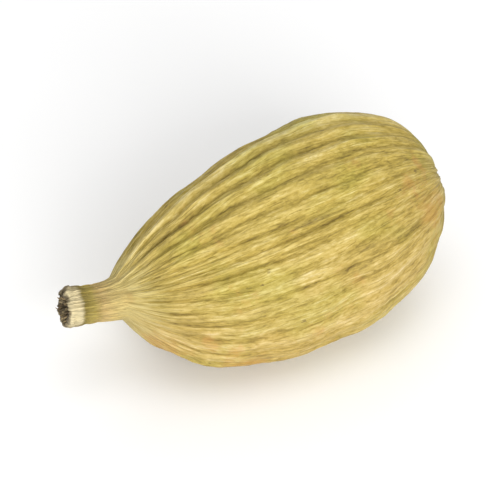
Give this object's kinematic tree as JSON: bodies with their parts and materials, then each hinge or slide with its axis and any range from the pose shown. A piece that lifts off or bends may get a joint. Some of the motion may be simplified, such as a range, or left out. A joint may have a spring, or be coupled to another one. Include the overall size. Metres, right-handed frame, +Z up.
{
  "type": "green cardamom pod",
  "caption": "Dried green cardamom pod lying on its side: a ribbed oval husk with rounded corners, a short flared stalk stub and a puckered far end.",
  "frame": {"origin": "middle of the bounding box, on the surface that the pod lies on", "axes": "+X along the pod from its stalk stub to its far end, +Z up, +Y to the left seen from the stub"},
  "size_m": [0.0166, 0.0084, 0.0082],
  "materials": {
    "husk": "dry satin husk, ribbed lengthwise"
  },
  "bodies": {
    "root": {"pod": "husk"}
  },
  "joints": []
}
